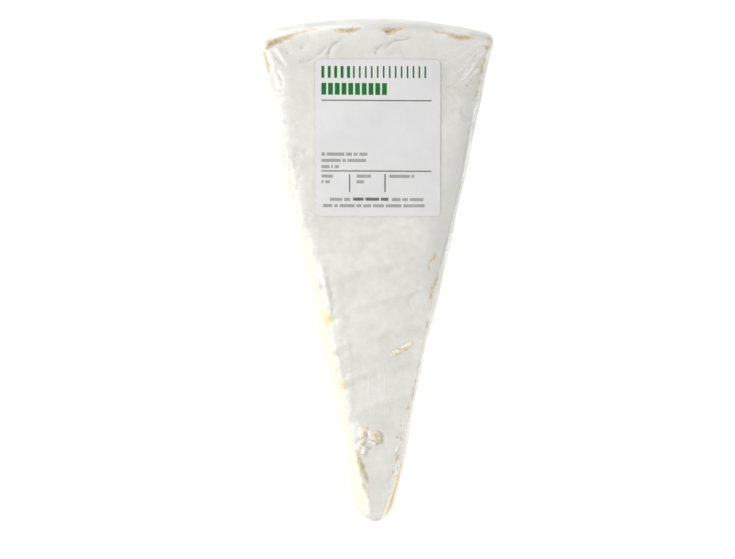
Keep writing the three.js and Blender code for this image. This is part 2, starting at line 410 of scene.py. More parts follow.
class Nodes:
    """Builds one material's nodes with short calls."""

    def __init__(self, name):
        self.material = bpy.data.materials.new(name)
        self.material.use_nodes = True
        self.tree = self.material.node_tree
        self.tree.nodes.clear()
        self.places = self.add("ShaderNodeTexCoord").outputs["Object"]

    def add(self, kind, inputs=(), **settings):
        node = self.tree.nodes.new(kind)
        for key, value in settings.items():
            setattr(node, key, value)
        for socket, value in dict(inputs).items():
            self.set(node.inputs[socket], value)
        return node

    def set(self, socket, value):
        if isinstance(value, bpy.types.NodeSocket):
            self.tree.links.new(value, socket)
        else:
            socket.default_value = value

    def value(self, attribute):
        return self.add("ShaderNodeAttribute", attribute_name=attribute).outputs["Fac"]

    def math(self, operation, first, second=0.0, third=0.0):
        return self.add("ShaderNodeMath", {0: first, 1: second, 2: third}, operation=operation).outputs[0]

    def noise(self, size, detail=3.0, roughness=0.6, stretch=(1, 1, 1)):
        """Noise from 0 to 1 with lumps of the given size, drawn out along the axes by stretch."""
        places = self.add("ShaderNodeMapping", {"Vector": self.places, "Scale": [1 / s for s in stretch]})
        inputs = {"Vector": places.outputs[0], "Scale": 1 / (size * MM), "Detail": detail}
        return self.add("ShaderNodeTexNoise", inputs | {"Roughness": roughness}).outputs[0]

    def ragged(self, size):
        """Noise about 0 that makes an edge ragged."""
        return self.math("SUBTRACT", self.noise(size), 0.5)

    def range(self, value, low, high, start=0.0, end=1.0):
        """Value as it goes from low to high, turned smoothly into start to end."""
        inputs = {"Value": value, "From Min": low, "From Max": high, "To Min": start, "To Max": end}
        return self.add("ShaderNodeMapRange", inputs, interpolation_type="SMOOTHSTEP").outputs[0]

    def mix(self, share, first, second):
        """Two colours mixed. A mix node has them at sockets 6 and 7."""
        return self.add("ShaderNodeMix", {0: share, 6: first, 7: second}, data_type="RGBA").outputs[2]

    def mix_normals(self, share, first, second):
        """Two normals mixed. A mix node has them at sockets 4 and 5."""
        return self.add("ShaderNodeMix", {0: share, 4: first, 5: second}, data_type="VECTOR").outputs[1]

    def mix_shaders(self, share, first, second):
        return self.add("ShaderNodeMixShader", {0: share, 1: first.outputs[0], 2: second.outputs[0]})

    def bump(self, height, depth, normal=None):
        """Bumps whose height, from 0 to 1, stands for depth millimetres."""
        node = self.add("ShaderNodeBump", {"Height": height, "Distance": depth * MM, "Strength": 1.0})
        if normal is not None:
            self.set(node.inputs["Normal"], normal)
        return node.outputs[0]

    def finish(self, shader):
        output = self.add("ShaderNodeOutputMaterial")
        self.tree.links.new(shader.outputs[0], output.inputs["Surface"])
        return self.material


# Materials

RIND_LIGHT = linear((226, 225, 219))
RIND_GREY = linear((215, 214, 207))
RIND_CREAM = linear((221, 215, 201))
# The tan layer's colours, which also paint the point's right side as shade
BARE_TAN = linear((212, 199, 174))
BARE_DARK = linear((164, 145, 114))
PASTE_CORE = linear((243, 235, 210))
PASTE_CREAM = linear((241, 232, 207))
# Riper paste's yellow, also painted over the whole right face as its shade
PASTE_RIPE_AND_SHADE = linear((233, 217, 170))
# Torn rind's colours, which also paint the knob's right lobe lighter on its left and darker on its right
TORN_PALE = linear((242, 234, 214))
TORN_TAN = linear((203, 191, 168))
CRUMB = linear((235, 235, 231))
# Painted shade: the rind is mixed towards this grey in its creases and where shadows and shaded edges fall
RIND_SHADE = linear((203, 203, 199))

FILM_CLEAR = (0.985, 0.985, 0.985, 1)
# Milky white of folded film, also used for painted highlights along the right edge
FILM_MILK_AND_GLINT = linear((250, 250, 248))
FILM_GLOSS = 0.05
WHITE = (1, 1, 1, 1)


def rind_colour(n):
    """Soft patches of white mould over cream, with painted shade in the creases and along the shade lines.
    """
    patches = n.range(n.noise(9, 4.0), 0.35, 0.68)
    mottle = n.range(n.noise(2.2, 2.0, 0.5), 0.35, 0.65)
    flecks = n.range(n.noise(1.3), 0.52, 0.75)
    greyness = n.math("MULTIPLY_ADD", mottle, 0.35, n.math("MULTIPLY", patches, 0.65))
    rind = n.mix(greyness, RIND_LIGHT, RIND_GREY)
    rind = n.mix(n.math("MULTIPLY", flecks, 0.35), rind, RIND_CREAM)
    # Painted shade, from the creases and the shade lines
    return n.mix(n.value("shade"), rind, RIND_SHADE)


def bare_colour(n):
    """The tan layer under the mould, darker at the middle of a worn place. Down the point's right side
    this tan is painted shade.
    """
    darker = n.math("MULTIPLY_ADD", n.value("bare_and_shading"), 0.33, n.noise(1.1))
    return n.mix(n.range(darker, 0.5, 1.0), BARE_TAN, BARE_DARK)


def paste_colour(n, cut_edge):
    """Pale at the core, creamier under the rind, and a darker yellow where it is riper, and over the whole
    right face as painted shade.
    """
    paste = n.mix(n.range(cut_edge, 0.2, 4.5), PASTE_CREAM, PASTE_CORE)
    clouds = n.math("MULTIPLY", n.range(n.noise(5), 0.4, 0.7), 0.3)
    paste = n.mix(clouds, paste, PASTE_CREAM)
    ripe_and_shade = n.math("MULTIPLY", n.value("ripe_and_shade"), n.range(n.noise(7), 0.3, 0.7, 0.75, 1.0))
    return n.mix(ripe_and_shade, paste, PASTE_RIPE_AND_SHADE)


def cheese_normal(n, is_paste):
    """Velvet and soft lumps on the rind, and the drag of the knife along the paste."""
    velvet = n.bump(n.noise(0.6, 4.0), 0.05)
    lumps = n.bump(n.noise(3.4, 2.0, 0.5), 0.12, velvet)
    drag = n.bump(n.noise(1.0, stretch=(1, 9, 0.7)), 0.1)
    return n.mix_normals(is_paste, lumps, drag)


def cheese_material():
    """Rind and paste, and the tan layer where the rind is rubbed or torn through."""
    n = Nodes("brie")
    ragged = n.ragged(1.6)
    bare_edge = n.math("MULTIPLY_ADD", ragged, 2.4, n.value("bare_and_shading"))
    cut_edge = n.math("MULTIPLY_ADD", ragged, 1.6, n.value("cut"))
    is_bare = n.range(bare_edge, -0.1, 0.25)
    is_paste = n.range(cut_edge, -0.1, 0.15)
    whole = n.mix(is_paste, rind_colour(n), paste_colour(n, cut_edge))
    inputs = {
        "Base Color": n.mix(is_bare, whole, bare_colour(n)),
        "Roughness": n.range(is_paste, 0, 1, 0.85, 0.45),
        "Normal": cheese_normal(n, is_paste),
        "Specular IOR Level": 0.35,
    }
    return n.finish(n.add("ShaderNodeBsdfPrincipled", inputs))


def torn_material():
    """Torn rind: cream and tan where the mould is worn off, white where the mould is left on it. On the
    knob's right lobe the cream and the tan are painted light and painted shade.
    """
    n = Nodes("torn_rind")
    darker = n.math("MULTIPLY_ADD", n.value("bare_and_shading"), 0.3, n.noise(1.3))
    tan = n.mix(n.range(darker, 0.52, 0.8), TORN_PALE, TORN_TAN)
    bare_edge = n.math("MULTIPLY_ADD", n.ragged(1.0), 2.4, n.value("bare_and_shading"))
    inputs = {
        "Base Color": n.mix(n.range(bare_edge, -0.1, 0.25), CRUMB, tan),
        "Roughness": 0.7,
        "Normal": n.bump(n.noise(0.7), 0.08),
        "Specular IOR Level": 0.35,
    }
    return n.finish(n.add("ShaderNodeBsdfPrincipled", inputs))


def film_material():
    """Clear film, too thin to bend light, milky where it is folded and in the lines where it is stretched.
    Its milky white also paints the film's glints along the right edge, as painted highlights.
    """
    n = Nodes("clear_film")
    comb = n.math("MULTIPLY", n.noise(0.42, 1.0, 0.5, stretch=(1, 60, 20)), n.value("drawn"))
    normal = n.bump(n.noise(5.0, 1.0, 0.5), 0.06, n.bump(comb, 0.05))
    clear = n.add("ShaderNodeBsdfTransparent", {"Color": FILM_CLEAR})
    milk = n.add("ShaderNodeBsdfDiffuse", {"Color": FILM_MILK_AND_GLINT, "Normal": normal})
    gloss = n.add("ShaderNodeBsdfGlossy", {"Color": WHITE, "Roughness": 0.3, "Normal": normal})
    streaks = n.range(n.noise(2.2, 2.0, 0.5), 0.25, 0.75, 0.6, 1.0)
    lines = n.math("MULTIPLY", n.range(comb, 0.35, 0.65), 0.13)
    milk_and_glint_share = n.math("MULTIPLY_ADD", n.value("folds_and_glints"), streaks, lines)
    facing = n.add("ShaderNodeLayerWeight", {"Blend": 0.5, "Normal": normal}).outputs["Facing"]
    gloss_share = n.math("MULTIPLY_ADD", n.math("POWER", facing, 5.0), 0.15, FILM_GLOSS)
    return n.finish(n.mix_shaders(gloss_share, n.mix_shaders(milk_and_glint_share, clear, milk), gloss))


def printed_material(name, colour, other, roughness):
    """Paper or ink: a slightly uneven tone with a fine paper grain."""
    n = Nodes(name)
    tone = n.mix(n.range(n.noise(6, roughness=0.5), 0.35, 0.65), linear(colour), linear(other))
    grain = n.bump(n.noise(0.25), 0.02)
    inputs = {"Base Color": tone, "Roughness": roughness, "Normal": grain, "Specular IOR Level": 0.4}
    return n.finish(n.add("ShaderNodeBsdfPrincipled", inputs))


# Cheese

# Places where the rind is rubbed or torn through to its tan layer, as bands: x, y and width at each point.
# The last band, down the point's right side, is tan painted as shade.
BARE_AND_SHADING_BANDS = [
    [(-35.6, 70.2, 1.6), (-34.1, 71.9, 2.9), (-31.6, 72.8, 2.6), (-28.9, 74, 2), (-26.7, 75.2, 1.7),
     (-23.3, 76.1, 1.4), (-19.8, 76.8, 0.9)],
    [(-14.9, 76.6, 0.4), (-12, 76.5, 1.9), (-9.5, 76.3, 2.6), (-7.1, 76.7, 1.9), (-5.2, 77.2, 0.6)],
    [(0.8, 76.4, 0.7), (3.5, 76.1, 3), (4.7, 76.2, 2.6), (6.4, 76.7, 1.7), (8.4, 77.1, 0.6)],
    [(17, 76.9, 0.6), (19.4, 76.1, 1), (22.4, 75.7, 0.9), (23.9, 75, 1.8), (26.3, 74.3, 2.2),
     (28.7, 74.5, 1.7), (31.2, 74.3, 0.7)],
    [(33.8, 74.7, 0.5), (36.4, 74, 1.5)],
    [(33.4, 71.9, 0.4), (35.4, 71.2, 1.6), (35, 69.8, 0.6)],
    [(34.6, 68.4, 0.6), (33.6, 65.4, 1), (33.1, 62.5, 0.8), (32.7, 59.5, 0.7), (31.5, 55.6, 1)],
    [(27.8, 57.8, 0.5), (30, 60.6, 0.6), (31.8, 62.7, 0.4)],
    [(31.2, 64.9, 0.4), (33.6, 65.4, 0.8)],
    [(21.8, 58.3, 0.2), (24, 58.6, 0.5), (26.2, 57.4, 0.2)],
    [(29.5, 45.2, 0.6), (29.3, 44, 0.9)],
    [(28.9, 36.8, 0.4), (28, 32, 1), (27.4, 30.5, 0.4)],
    [(26.6, 26.9, 0.8), (26.4, 25.9, 0.6)],
    [(25.1, 20.6, 0.7), (24.8, 19.2, 0.5)],
    [(23.5, 14.4, 0.7), (23.3, 13.2, 0.5)],
    [(18.6, 5.8, 0.7), (18.3, 3.6, 1.2), (16.7, 2.4, 0.6), (16.4, -0.4, 1)],
    [(19.4, -0.9, 0.9), (18.3, -4.4, 1.5), (17.3, -6.3, 0.9), (16.8, -9.2, 1.5)],
    [(16, -16.5, 1), (15.7, -18.4, 0.9)],
    [(13.4, -29.6, 0.9), (13.1, -31, 0.8)],
    [(12.2, -35.4, 0.9), (11.9, -37, 0.8)],
    [(11.6, -38.6, 0.5), (10.9, -40.6, 1)],
    [(10.1, -42.6, 0.6), (9.7, -44.6, 0.9)],
    [(7.4, -49.2, 0.9), (7.4, -49.9, 0.7)],
    [(7.6, -52.5, 0.6), (7.4, -54.4, 0.7)],
    [(6.2, -53.5, 0.6), (6.2, -53.9, 0.7)],
    [(5.3, -59.6, 0.4), (6.2, -58.6, 0.8), (5.8, -61, 0.9)],
    [(4.9, -64.4, 0.9), (4.7, -65.3, 0.8)],
    [(-36.4, 69, 1), (-35.4, 65, 1.7), (-35, 62.6, 1)],
    [(-34.9, 58.5, 1), (-34.6, 56.8, 0.7)],
    [(-34.3, 54.2, 0.9), (-34.2, 53.6, 0.8)],
    [(-29.9, 36.6, 0.8), (-29.9, 36.2, 0.8)],
    [(-28, 28.4, 0.8), (-27.9, 28, 0.8)],
    [(-27.2, 23.6, 0.9), (-27, 22.8, 0.9)],
    [(-5.8, -60.2, 1.1), (-4.7, -63.6, 1.9), (-3.8, -65.8, 1.7), (-3.1, -68.2, 1)],
    [(-5, -67.4, 0.5), (-4.5, -69.6, 1.5), (-4.2, -71, 0.6)],
    # Painted shade: tan down the point's right side, where the paste lies in shade
    [(7.4, -62, 0.5), (6.6, -67, 1.1), (5.8, -71, 1.7), (4.8, -75, 1.9), (3.4, -79, 1.4)],
]

# Places beside the left face where the paste shows through the rind, as bands
PASTE_BANDS = [
    [(-17, -13, 1.2), (-16.2, -15.4, 2.5), (-15.7, -17.2, 2.4), (-15.1, -18.8, 0.9)],
    [(-12.2, -34.6, 0.9), (-11.5, -37, 2.1), (-11, -39.6, 0.7)],
]

# The lowest level of such places, which is lower still beside the point, and how deep they are worn
BARE_LEVEL = HEIGHT - 5.5
BARE_LEVEL_AT_POINT = 20
WORN_DEPTH = 0.12

# How far the rind of the top laps down a cut face, at its least and at its most, and down the point
LEFT_LAP = (0.9, 7.0)
RIGHT_LAP = (1.0, 8.0)
POINT_LAP = 8

# How far the rinds of the foot and of the rim show on the cut faces
FOOT_RIND = 1.1
RIM_RIND = 1.3

# Creases in the rind: points in plan, width and depth. Each crease also darkens the rind's colour with
# painted shade.
CREASES = [
    ([(-12.2, 72.9), (-14.4, 71.6), (-15.4, 69.8), (-16, 67.2)], 0.5, 0.7),
    ([(-0.7, 69), (-0.2, 70.5), (1.4, 71.7)], 0.45, 0.55),
    ([(2.4, 70.7), (3.8, 72.2), (5.8, 73.1), (10.1, 73.8)], 0.45, 0.5),
    ([(7, 70.5), (8.2, 68.1)], 0.5, 0.25),
    ([(4.3, 68.8), (5.8, 67.3)], 0.5, 0.25),
    ([(-24.6, 65.9), (-21.5, 66.6), (-18.7, 68.6), (-16.2, 71.2)], 0.5, 0.4),
    ([(12.4, -7.6), (10.2, -9), (9.7, -11), (10.8, -12.6)], 0.6, 0.25),
    ([(-33.7, 70.8), (-30.8, 70.2), (-28.6, 68.7)], 0.55, 0.45),
    ([(-33.9, 68.9), (-32, 66.6), (-30.2, 65.4)], 0.6, 0.5),
    ([(-16.4, -3), (-14.9, -8), (-14.3, -13.5)], 0.7, 0.45),
    ([(26.7, 51.3), (27.6, 49.4), (29, 47.9)], 0.7, 0.35),
    ([(22.6, 56.9), (24.2, 55.6), (25.4, 53.4)], 0.8, 0.25),
    ([(-34, 60), (-31, 60.8)], 0.55, 0.4),
    ([(-34, 58.4), (-30.8, 59)], 0.55, 0.4),
]

# Painted shade and painted shadows on the rind: points in plan, width, and how much darker. They darken
# the right edge, the rind beside the label's right edge and beside the knob, the rim's shoulder and right
# corner, and broad places near the rim and the left edge.
SHADES = [
    ([(33.5, 66), (30.6, 48), (26, 28.5), (23, 15.8), (20.5, 6), (18.5, -4)], 4.6, 0.85),
    ([(21, 64), (21, 48)], 1.6, 0.4),
    ([(1.4, -52.6), (1.5, -55.2)], 0.6, 0.9),
    ([(-3.4, -57.4), (-3.8, -59.4)], 0.6, 0.9),
    ([(-22, 77.4), (-10, 77.6), (0, 77.8), (10, 77.7), (20, 77.4)], 1.3, 1),
    ([(31, 75.6), (36, 74.6)], 1.5, 1),
    ([(-31, 68), (-23, 65)], 4, 0.3),
    ([(-27.5, 56), (-22.5, 20)], 4, 0.15),
    ([(-8, 63), (20, 63)], 7, 0.25),
]

# Dents in the rind: x, y, width and depth
DENTS = [
    (3.7, 76.2, 1, 0.9), (13.2, -5.2, 1.5, 0.35), (24.6, 50, 1.2, 0.3), (-1.8, -3.4, 1.6, 0.3),
    (-24.1, 70.7, 0.8, 0.6), (-22.2, 73.5, 0.6, 0.4), (-31.8, 56.3, 1.5, 0.8), (-29.3, 46.4, 1.1, 0.7),
    (-27.7, 46.4, 0.8, 0.5), (-29.9, 42.3, 0.9, 0.6), (-25.7, 36.8, 1.6, 0.8), (-23.2, 37.5, 1, 0.6),
    (-26.4, 32.7, 0.9, 0.5), (-25.1, 29.8, 0.9, 0.5), (-26.1, 26, 1.2, 0.8), (-22.6, 16.1, 1, 0.6),
    (-24.1, 14.5, 0.7, 0.4), (-22.6, 12.3, 0.9, 0.5), (-21.3, 8.5, 0.9, 0.5),
]

# Small holes in the cut faces, drawn between these limits
EYES_PER_FACE = 13
EYE_SEED = 7
EYE_Y = (-68, 66)
EYE_LEVEL = (5, 23)
EYE_SIZE = (0.6, 1.5)
EYE_STRETCH = (1.0, 2.4)


def bare_and_shading_depth(points):
    """How far inside a tan band each point lies. Down the point's right side the tan is painted shade."""
    x, y, z = points.T
    lowest = lerp(BARE_LEVEL, BARE_LEVEL_AT_POINT, smoothstep(-y, 60, 66))
    return np.where(z > lowest, depth_in_bands(x, y, BARE_AND_SHADING_BANDS), OUTSIDE)


def rind_reach(points):
    """How far down the cut faces the rind of the top reaches. It laps over the point too."""
    x, y, _ = points.T
    near_rim = smoothstep(y, 6, 18)
    left = lerp(*LEFT_LAP, near_rim) + lerp(0.5, 2.0, near_rim) * noise_at(points, (4, 3, 4), 2, seed=31)
    right = lerp(*RIGHT_LAP, smoothstep(y, -68, -60)) + 1.2 * noise_at(points, (4, 3, 4), 2, seed=32)
    at_point = smoothstep(x, -3.6, -2.6) * fade(x, 1.2, 2.2) * smoothstep(-y, 74, 78)
    return np.where(x < 0, left, right) + POINT_LAP * at_point


def cut_depth(points, place):
    """Distance inside a cut face from the rind that borders it, negative on the rind."""
    x, y, _ = points.T
    edge_distance = distance_inward(place)
    point_distance = (1 + place["q"]) * HALF_LENGTH
    reach = rind_reach(points)
    on_face = np.minimum(HEIGHT - place["level"] - reach, place["level"] - FOOT_RIND)
    on_face = np.minimum(on_face, (1 - place["q"]) * HALF_LENGTH - RIM_RIND)
    is_face = (np.abs(place["p"]) > ALMOST_1) | (place["q"] < -ALMOST_1)
    depth = np.where(is_face, on_face, -np.minimum(edge_distance, point_distance) - reach)
    torn = np.maximum(tear_x(y, LEFT_TEAR) - x, x - tear_x(y, RIGHT_TEAR))
    torn = np.where(y < LEFT_TEAR[0][1], torn, OUTSIDE)
    torn = np.maximum(torn, depth_in_bands(x, y, PASTE_BANDS))
    return np.where(place["level"] > BARE_LEVEL, np.maximum(depth, torn), depth)


def ripeness_and_shade(points):
    """1 where the paste is darker and yellower: on the right face as painted shade, and where it shows
    through the rind as riper paste.
    """
    x, y, z = points.T
    in_band = smoothstep(depth_in_bands(x, y, PASTE_BANDS), -0.4, 0.3)
    # The right face's share is painted shade; the share in the bands is riper paste
    return np.maximum(smoothstep(x, -1, 3), in_band * (z > BARE_LEVEL))


def eye_dents(points):
    """Depth of the small holes that ripening left in both cut faces."""
    draw = np.random.default_rng(EYE_SEED)
    depth = np.zeros(len(points))
    for side in (-1, 1):
        for _ in range(EYES_PER_FACE):
            y = draw.uniform(*EYE_Y)
            z = draw.uniform(*EYE_LEVEL)
            size = draw.uniform(*EYE_SIZE)
            length = size * draw.uniform(*EYE_STRETCH)
            away = np.hypot((points[:, 1] - y) / length, (points[:, 2] - z) / size)
            depth += np.where(np.sign(points[:, 0]) == side, 0.7 * size * bell(away, 1), 0)
    return depth


def cheese_dents(points, place, cut):
    """Depth of the hollows in the top. It is never negative, so that the film lies over them."""
    x, y = points[:, 0], points[:, 1]
    hollows = 0.1 + 0.06 * noise_at(points, (9, 9, 9), 1, seed=1)
    hollows += over_lines(x, y, CREASES)
    for band in BARE_AND_SHADING_BANDS:
        hollows += WORN_DEPTH * smoothstep(depth_in_band(x, y, band), -0.3, 0.3)
    for dent_x, dent_y, width, depth in DENTS:
        hollows += depth * bell(np.hypot(x - dent_x, y - dent_y), width)
    hollows *= 1 - 0.8 * under_label(x, y)
    near_edge = bell(cut + 1.2, 1.6)
    chips = np.maximum(noise_at(points, (2.6, 3.4, 3), 1, seed=4), 0)
    return np.maximum(hollows, 0) + 0.2 * near_edge * chips


def shade_share(points):
    """How much painted shade each point of the rind gets: in its creases, and along the lines in SHADES.
    """
    x, y, _ = points.T
    # Painted shade along each crease, in a band narrower than the crease
    creases = [(line, 0.7 * width, depth) for line, width, depth in CREASES]
    return over_lines(x, y, creases + SHADES)


def make_cheese(material):
    points, quads, place = wedge_skin(-CHEESE_INSET)
    cut = cut_depth(points, place)
    bare_and_shading = bare_and_shading_depth(points)
    drag = 0.12 * noise_at(points, (2, 6, 2), 2, seed=3)
    push_out(points, place, face_waves(points) - eye_dents(points) - drag)
    points[:, 2] -= place["top"] * cheese_dents(points, place, cut)
    rim_share = smoothstep(place["q"], 0.97, 1) * (1 - place["top"])
    points[:, 1] -= rim_share * (0.2 + 0.2 * noise_at(points, (4, 4, 4), 3, seed=5))
    points[:, 2] = np.maximum(points[:, 2], CHEESE_FLOOR)
    values = {"bare_and_shading": bare_and_shading, "cut": cut, "ripe_and_shade": ripeness_and_shade(points), "shade": shade_share(points)}
    cheese = make_piece("cheese", points, quads, [material], values)
    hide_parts("brie_wedge")


# Torn rind that stands up on the top: a line, its width at both ends, its height, and how bare it is,
# which on the knob's right lobe also sets its painted light and shade.
# Where it is OUTSIDE the bare layer, it is white with mould.
CURLS = [
    ([(3.7, -27.4), (7.4, -25.9), (11.2, -23.1)], (1.6, 1.8), 0.45, 0.4),
    ([(-4.2, -49.9), (-4.9, -53), (-5.7, -56), (-6.9, -59.2)], (2.7, 1.7), 0.55, 0.35),
    ([(-5.4, -50.2), (-6, -53.4)], (1.3, 1.2), 0.35, 0.2),
    # Painted light: the paler strip on the left of the knob's right lobe
    ([(-1.7, -51.4), (-1.4, -54.4)], (2.4, 2.4), 0.6, 0.35),
    # Painted shade: the darker strip on the right of the knob's right lobe
    ([(-0.5, -51.5), (0.1, -53.4), (-0.1, -55.7)], (2.2, 2.6), 0.65, 0.95),
    ([(-2.9, -51.3), (-2.2, -53.9)], (1.4, 1.3), 0.8, OUTSIDE),
    ([(-2.9, -54.8), (-0.7, -55.9)], (1.5, 1.4), 0.7, OUTSIDE),
    ([(-4.5, -56), (-4.9, -59)], (2.1, 1.9), 0.5, OUTSIDE),
    ([(-3, -56.5), (-2.7, -57.3)], (0.8, 0.7), 0.3, 0.9),
    ([(6.2, -56.8), (6, -58.2)], (0.7, 0.5), 0.2, OUTSIDE),
]
CURL_RINGS = 26
CURL_SIDES = 14
CURL_LUMPS = 0.11


def spots_along(line, count):
    """Evenly spaced places along a line in plan, and the direction across it at each."""
    knots = np.array(line, float)
    lengths = np.append(0, np.cumsum(np.hypot(*np.diff(knots, axis=0).T)))
    steps = np.linspace(0, lengths[-1], count)
    middle = np.stack([np.interp(steps, lengths, knots[:, axis]) for axis in (0, 1)], axis=1)
    ahead = np.gradient(middle, axis=0)
    ahead /= np.linalg.norm(ahead, axis=1)[:, None]
    return middle, np.stack([-ahead[:, 1], ahead[:, 0]], axis=1)


def strip(line, widths, height, seed):
    """A lumpy closed strip with rounded ends that lies along a line on the top."""
    middle, side = spots_along(line, CURL_RINGS)
    ends = np.sqrt(np.clip(1 - np.abs(np.linspace(-1, 1, CURL_RINGS)) ** 7, 0.02, 1))
    turn = np.linspace(0, 2 * np.pi, CURL_SIDES, endpoint=False)
    out = (np.linspace(*widths, CURL_RINGS) / 2 * ends)[:, None] * np.cos(turn)
    up = (height * ends)[:, None] * np.sin(turn) * np.sqrt(np.abs(np.sin(turn)))
    x = middle[:, :1] + side[:, :1] * out
    y = middle[:, 1:] + side[:, 1:] * out
    base = HEIGHT - FOOT_SINK - CHEESE_INSET + shared_relief(x, y)
    points = np.stack([x, y, base + up], axis=2).reshape(-1, 3)
    lumps = np.stack([noise_at(points, 1.3, 2, seed + axis) for axis in (1, 2, 3)], axis=1)
    points += CURL_LUMPS * widths[0] * lumps
    grid = np.arange(CURL_RINGS * CURL_SIDES).reshape(CURL_RINGS, CURL_SIDES)
    following = np.roll(grid, -1, axis=1)
    quads = np.stack([grid[:-1], following[:-1], following[1:], grid[1:]], axis=2).reshape(-1, 4).tolist()
    return points, quads + [grid[0, ::-1].tolist(), grid[-1].tolist()]


def make_curls(material):
    points, faces, bare_and_shading = [], [], []
    for index, (line, widths, height, bareness_and_shading) in enumerate(CURLS):
        start = sum(len(group) for group in points)
        strip_points, strip_faces = strip(line, widths, height, seed=10 * index)
        points.append(strip_points)
        faces += [[start + corner for corner in face] for face in strip_faces]
        bare_and_shading.append(np.full(len(strip_points), bareness_and_shading))
    values = {"bare_and_shading": np.concatenate(bare_and_shading)}
    curls = make_piece("rind_curls", np.concatenate(points), faces, [material], values)


# Film

# Where the film stands off the left face as it bridges a hollow
BRIDGE = {"y": -56.7, "length": 6, "z": 10, "height": 7, "bulge": 2.7}

# Ears of folded film at the rim: x and width, how far out they stand, their level and thickness
EARS = [(-29.4, 3.2), (28.7, 3.8)]
EAR_REACH = 5.0
EAR_LEVEL = WIDEST_LEVEL
EAR_THICKNESS = 1.3

# Fans of wrinkles at the rim's corners: centre, directions, wrinkles per turn, distances and height
FANS = [
    {"centre": (38, 75.5), "from": 190, "to": 250, "per_turn": 34, "start": 4, "end": 27, "height": 0.4},
    {"centre": (-36.5, 76), "from": 278, "to": 340, "per_turn": 32, "start": 4, "end": 20, "height": 0.22},
]

# How softly a fan fades at its sides, in degrees, and at its start and end
FAN_FADE_TURN = 14
FAN_FADE_START = 5
FAN_FADE_END = 14

# Creases where the film is drawn together: points in plan, width, height, and how milky. The last three,
# along the right edge, are mostly milky white that paints glints there, as painted highlights.
FILM_CREASES = [
    ([(-13.7, -2), (-12.6, -9.5), (-11.6, -20.5)], 1.5, 0.3, 0.25),
    ([(-17.9, 0.4), (-16.6, -6), (-15.4, -11)], 0.9, 0.3, 0.35),
    ([(-10.3, -22.5), (-9.2, -33), (-9, -41), (-8.6, -45)], 1, 0.2, 0.3),
    ([(-12.4, -30), (-11, -41), (-10.4, -45)], 1.6, 0.3, 0.35),
    ([(-9, -58), (-7.2, -64), (-5.9, -69)], 1, 0.2, 0.5),
    ([(-4.2, -69), (-3.4, -79)], 1, 0.15, 0.5),
    ([(6.5, -62), (4.6, -70), (1.9, -79.4)], 0.5, 0.2, 0.45),
    ([(32.2, 64.2), (27.8, 59.3)], 0.45, 0.3, 0.3),
    ([(31.3, 65.6), (27, 60.9)], 0.45, 0.3, 0.3),
    ([(29.9, 67.2), (26.4, 63.7)], 0.4, 0.25, 0.25),
    ([(33.9, 70), (28.1, 64.8)], 0.4, 0.3, 0.25),
    # Painted highlights: white lines along the right edge that stand in for the film's glints
    ([(31.9, 53.5), (30.6, 48)], 1, 0.2, 0.6),
    ([(29.8, 41), (27.6, 30)], 0.6, 0.05, 0.8),
    ([(23.6, 11), (22.1, 5), (21.3, 1)], 0.6, 0.05, 0.7),
]

# Wrinkles across the upper edges of the cut faces. Each runs in from the edge at its own y.
LEFT_WRINKLES = {"first": 70, "last": -14, "spacing": 6.0, "length": 3.6, "height": 0.14, "milk": 0.2}
RIGHT_WRINKLES = {"first": 60, "last": -40, "spacing": 6.5, "length": 2.2, "height": 0.2, "milk": 0.1}
WRINKLE_SEED = 3

# The milkiest that the film gets
MOST_MILK = 0.8

# How far the label presses the film down on the cheese
PRESS = 0.12


def fan_wrinkles(x, y, fan):
    """Height of a fan's wrinkles, which bend a little as they run out."""
    away_x, away_y = x - fan["centre"][0], y - fan["centre"][1]
    direction = np.degrees(np.arctan2(away_y, away_x)) % 360
    distance = np.hypot(away_x, away_y)
    inside = smoothstep(direction, fan["from"], fan["from"] + FAN_FADE_TURN)
    inside *= fade(direction, fan["to"] - FAN_FADE_TURN, fan["to"])
    inside *= smoothstep(distance, fan["start"], fan["start"] + FAN_FADE_START)
    inside *= fade(distance, fan["end"] - FAN_FADE_END, fan["end"])
    bend = 24 * np.sin(distance / 9 + direction / 20) + 30 * np.sin(direction / 13)
    wave = 0.5 + 0.5 * np.cos(np.radians(direction * fan["per_turn"] + bend))
    return fan["height"] * inside * wave**2.5


def edge_wrinkles(points, place, side, kind):
    """Height and milkiness of the wrinkles across one face's upper edge."""
    _, y, z = points.T
    inward = distance_inward(place)
    below = np.maximum(HEIGHT - 2.5 - z, 0)
    on_side = (np.sign(points[:, 0]) == side) & (z > HEIGHT - 12)
    draw = np.random.default_rng(WRINKLE_SEED + side)
    height = np.zeros(len(points))
    middle = kind["first"]
    while middle > kind["last"]:
        length = kind["length"] * draw.uniform(0.45, 1.5)
        width = draw.uniform(1.0, 2.0)
        lean = draw.uniform(-0.5, 0.35)
        rise = draw.uniform(0.5, 1.15)
        reach = fade(inward, length - 2.4, length + 1.2) * fade(below, 0.5, 2.5)
        ridge = rise * reach * bell(y - middle - lean * (inward - below), width)
        height = np.maximum(height, ridge)
        middle -= kind["spacing"] * draw.uniform(0.45, 1.6)
    height *= on_side
    return kind["height"] * height, kind["milk"] * height


